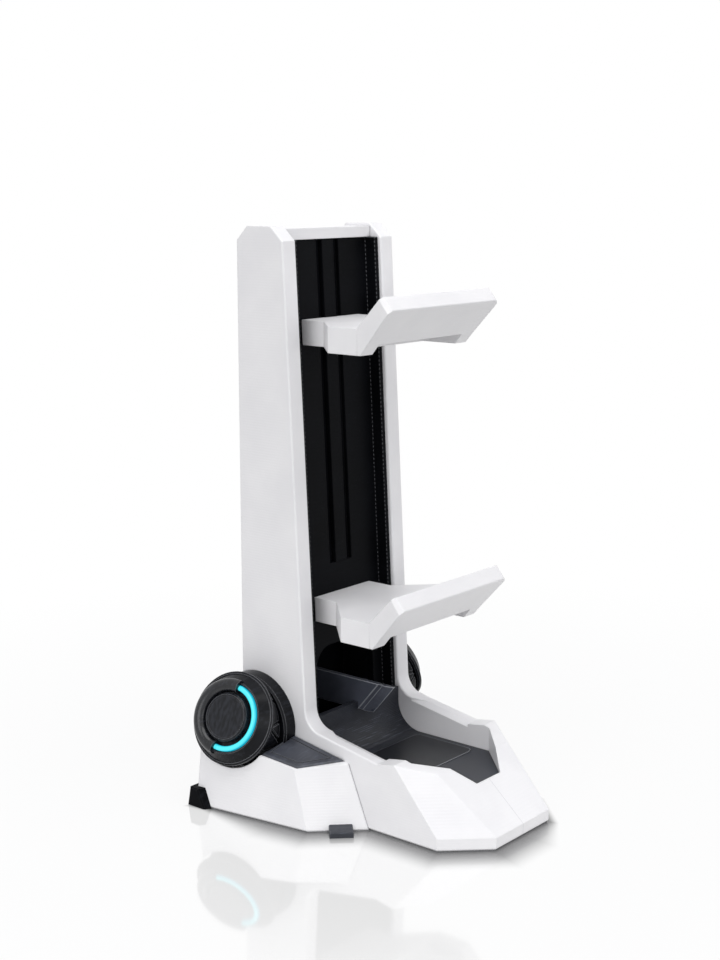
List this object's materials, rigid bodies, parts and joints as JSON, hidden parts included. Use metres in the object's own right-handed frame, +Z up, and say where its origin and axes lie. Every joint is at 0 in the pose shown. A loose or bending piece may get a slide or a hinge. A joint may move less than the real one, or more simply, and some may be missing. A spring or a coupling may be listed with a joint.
{
  "type": "controller stand",
  "caption": "Free-standing desk stand with a tall column, open hook cradles, a wedge-nosed foot with a sunk tray, and round side hubs with lit half rings; it holds hand controllers.",
  "frame": {"origin": "on the floor, under the middle of the outline", "axes": "+Z up along the column, the nose points along -Y, +X to the right of the stand seen from the nose side"},
  "size_m": [0.1146, 0.1182, 0.214],
  "materials": {
    "white_plastic": "smooth satin",
    "black_plastic": "satin with fine layer lines",
    "cyan_ring": "gloss"
  },
  "bodies": {
    "root": {"body_frame": "white_plastic", "column_liner": "black_plastic", "deck_left": "black_plastic", "deck_right": "black_plastic", "floor_liner": "black_plastic", "floor_panel": "black_plastic", "heel_left": "white_plastic", "heel_right": "white_plastic", "hub_cap_left": "black_plastic", "hub_cap_right": "black_plastic", "hub_disc_left": "black_plastic", "hub_disc_right": "black_plastic", "hub_flange_left": "black_plastic", "hub_flange_right": "black_plastic", "hub_neck_left": "black_plastic", "hub_neck_right": "black_plastic", "hub_rim_left": "black_plastic", "hub_rim_right": "black_plastic", "instep_fin": "black_plastic", "light_ring_left": "cyan_ring", "light_ring_right": "cyan_ring", "lower_cradle": "white_plastic", "rear_foot_left": "black_plastic", "rear_foot_right": "black_plastic", "rear_panel": "black_plastic", "side_foot_left": "black_plastic", "side_foot_right": "black_plastic", "spine": "black_plastic", "top_cap": "white_plastic", "upper_cradle": "white_plastic"}
  },
  "joints": []
}
